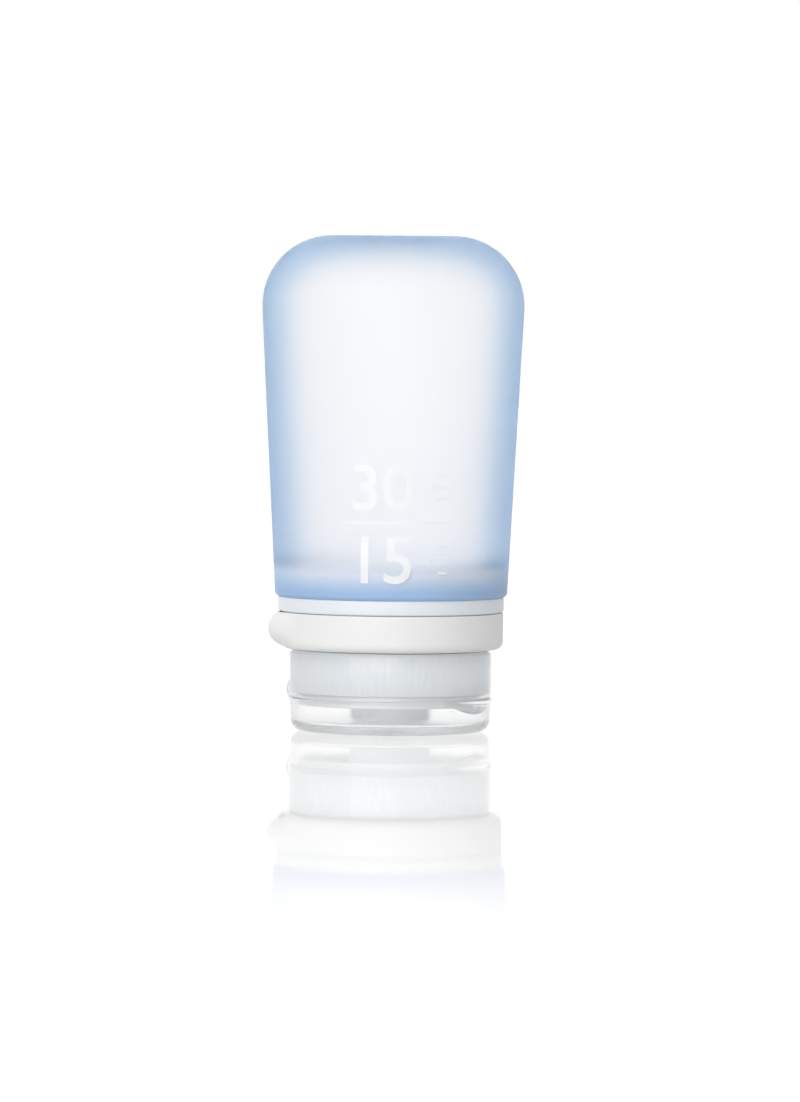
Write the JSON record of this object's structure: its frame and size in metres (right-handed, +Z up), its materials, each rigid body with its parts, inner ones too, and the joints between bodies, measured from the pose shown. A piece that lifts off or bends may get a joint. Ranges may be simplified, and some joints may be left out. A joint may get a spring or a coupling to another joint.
{
  "type": "squeeze bottle",
  "caption": "Soft translucent silicone travel bottle that stands on its clear flip-top screw cap, with a white collar and a swivel ring with a small carrying loop.",
  "frame": {"origin": "centre of the lid's flat foot, on the floor under the bottle's axis", "axes": "+Z up along the bottle's axis from the cap to the closed end, -Y towards the front of the bottle, +X to its right"},
  "size_m": [0.0482, 0.0482, 0.091],
  "materials": {
    "silicone_blue": "frosted translucent silicone, light blue",
    "collar_white": "satin moulded, cool white",
    "ring_white": "satin moulded, warm white",
    "frosted_plastic": "frosted translucent moulding",
    "clear_plastic": "clear gloss moulding",
    "valve_silicone": "milky soft silicone"
  },
  "bodies": {
    "bottle": {"squeeze_tube": "silicone_blue", "collar": "collar_white"},
    "loop": {"loop_ring": "ring_white"},
    "valve": {"slit_valve": "valve_silicone", "valve_retainer": "frosted_plastic"},
    "cap": {"inner_cap": "frosted_plastic", "cap_shell": "clear_plastic", "hinge_strap": "clear_plastic"},
    "lid": {"flip_lid": "clear_plastic"}
  },
  "joints": [
    {"name": "loop_swivel", "type": "hinge", "parent": "bottle", "child": "loop", "pos_m": [0, 0, 0.0186], "axis": [0, 0, 1], "continuous": true},
    {"name": "cap_lift", "type": "slide", "parent": "bottle", "child": "valve", "axis": [0, 0, -1], "range_m": [0, 0.00701]},
    {"name": "cap_turn", "type": "hinge", "parent": "valve", "child": "cap", "pos_m": [0, 0, 0.0107], "axis": [0, 0, -1], "range_deg": [0, 630]},
    {"name": "lid_flip", "type": "hinge", "parent": "cap", "child": "lid", "pos_m": [-0.01669, 0.00964, 0.00725], "axis": [0.5, 0.866, 0], "range_deg": [0, 170], "deforming": ["hinge_strap"]}
  ],
  "couplings": [
    {"joint": "cap_lift", "follows": "cap_turn", "m_per_rad": 0.00063662}
  ]
}
